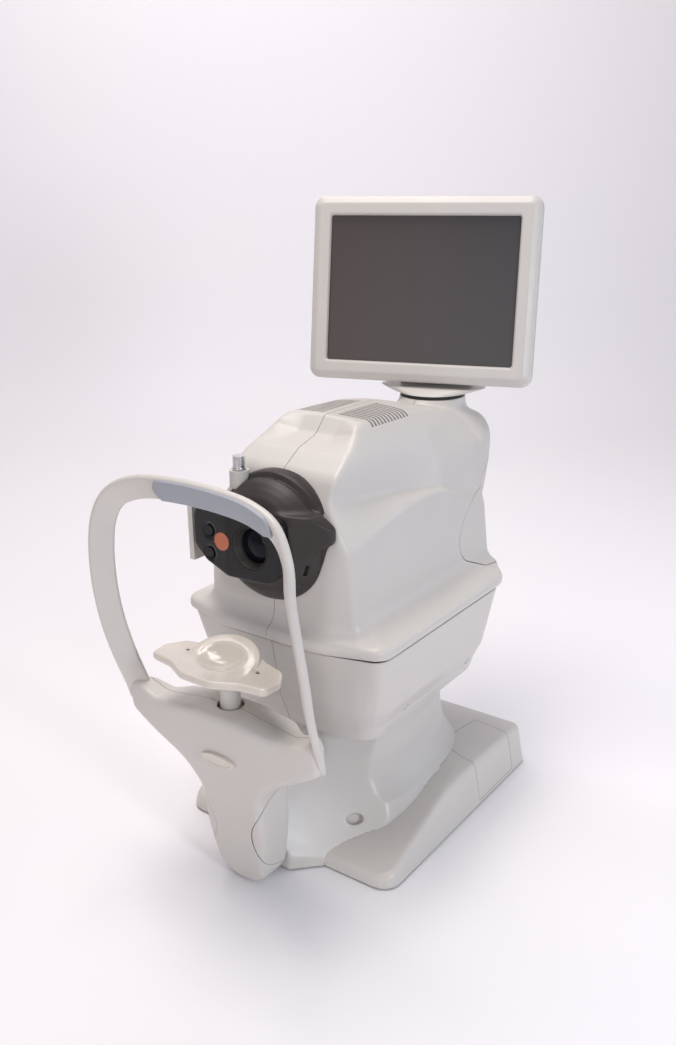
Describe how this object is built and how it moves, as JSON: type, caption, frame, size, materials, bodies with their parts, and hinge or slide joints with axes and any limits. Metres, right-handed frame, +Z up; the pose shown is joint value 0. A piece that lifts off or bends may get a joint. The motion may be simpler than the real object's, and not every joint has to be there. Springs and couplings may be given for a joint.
{
  "type": "non-mydriatic retinal camera",
  "caption": "Table-top retinal camera with chin rest, forehead arch, lens hood, motor-driven head on a tapered skirt, and a swivelling tilting monitor.",
  "frame": {"origin": "centre of the base footprint on the table top, under the rubber feet", "axes": "+Z up, +Y from the patient to the operator, +X to the right seen from the patient's side"},
  "size_m": [0.2831, 0.492, 0.663],
  "materials": {
    "alloy": "machined alloy",
    "board_green": "circuit board",
    "bronze": "oiled bearing bronze",
    "chrome": "bright knurled cap",
    "face_black": "smoked gloss black",
    "gloss_cream": "polished cream plastic",
    "hood_black": "matte anti-glare black",
    "lens_glass": "coated optical glass",
    "pad_grey": "soft blue-grey silicone",
    "painted_grey": "powder-coated steel",
    "plastic_dark": "dark moulded plastic",
    "rubber_black": "black rubber",
    "screen_glass": "switched-off display glass",
    "sensor_orange": "orange filter",
    "shell_white": "moulded warm white housing plastic, fine satin grain",
    "steel": "ground steel"
  },
  "bodies": {
    "base": {"base_cover": "shell_white", "access_panel": "shell_white", "pedestal_cover": "shell_white", "base_plate": "painted_grey", "rubber_feet": "rubber_black", "base_plate_screws": "steel", "port_block": "plastic_dark", "power_inlet": "plastic_dark", "lift_frame": "painted_grey", "lift_posts": "steel", "lift_motor": "painted_grey", "power_supply": "alloy", "main_board": "board_green", "headrest_arch": "shell_white", "forehead_pad": "pad_grey", "chin_front_cover": "shell_white", "chin_rear_cover": "shell_white", "chin_side_covers": "shell_white", "chin_frame": "painted_grey", "chin_guide_bush": "bronze", "badge_blank": "gloss_cream"},
    "rocker": {"power_switch": "plastic_dark"},
    "chin": {"chin_rest": "gloss_cream", "paper_pins": "steel", "chin_stem": "shell_white"},
    "lift": {"skirt_left": "shell_white", "skirt_right": "shell_white", "skirt_screws": "steel", "lift_platform": "alloy", "cross_rails": "steel"},
    "cross": {"cross_carriage": "alloy", "depth_rails": "steel"},
    "head": {"head_cover_left": "shell_white", "head_cover_right": "shell_white", "head_rear_cover": "shell_white", "vent_screen": "plastic_dark", "head_tray": "alloy", "lens_hood": "hood_black", "face_plate": "face_black", "led_windows": "face_black", "sensor_window": "sensor_orange", "objective_barrel": "hood_black", "objective_lens": "lens_glass", "fixation_bracket": "shell_white", "fixation_post": "shell_white", "optical_bench": "alloy", "focus_rails": "steel", "camera_module": "plastic_dark", "lamp_module": "alloy", "neck_ring": "rubber_black"},
    "knob": {"fixation_knob": "chrome"},
    "focus": {"focus_carriage": "alloy", "focus_lens": "lens_glass"},
    "swivel": {"monitor_swivel_base": "shell_white"},
    "monitor": {"monitor_bezel": "shell_white", "monitor_back_cover": "shell_white", "lcd_panel": "screen_glass", "hinge_pin": "steel", "monitor_foot": "painted_grey"}
  },
  "joints": [
    {"name": "power_switch_rock", "type": "hinge", "parent": "base", "child": "rocker", "pos_m": [0.002, 0.147, 0.029], "axis": [1, 0, 0], "range_deg": [-6, 6]},
    {"name": "chin_rest_height", "type": "slide", "parent": "base", "child": "chin", "axis": [0, 0, 1], "range_m": [-0.03, 0.03]},
    {"name": "head_height", "type": "slide", "parent": "base", "child": "lift", "axis": [0, 0, 1], "range_m": [-0.012, 0.018]},
    {"name": "head_across", "type": "slide", "parent": "lift", "child": "cross", "axis": [1, 0, 0], "range_m": [-0.042, 0.042]},
    {"name": "head_depth", "type": "slide", "parent": "cross", "child": "head", "axis": [0, -1, 0], "range_m": [-0.02, 0.02]},
    {"name": "focus_travel", "type": "slide", "parent": "head", "child": "focus", "axis": [0, 1, 0], "range_m": [-0.02, 0.008]},
    {"name": "fixation_knob_turn", "type": "hinge", "parent": "head", "child": "knob", "pos_m": [-0.039, -0.156, 0.425], "axis": [0, 0, 1], "continuous": true},
    {"name": "monitor_swivel", "type": "hinge", "parent": "head", "child": "swivel", "pos_m": [0, 0.142, 0.449], "axis": [0, 0, 1], "range_deg": [-65, 33]},
    {"name": "monitor_tilt", "type": "hinge", "parent": "swivel", "child": "monitor", "pos_m": [-0.00581, 0.16114, 0.463], "axis": [-0.9568, -0.2907, 0], "range_deg": [-5, 25]}
  ]
}
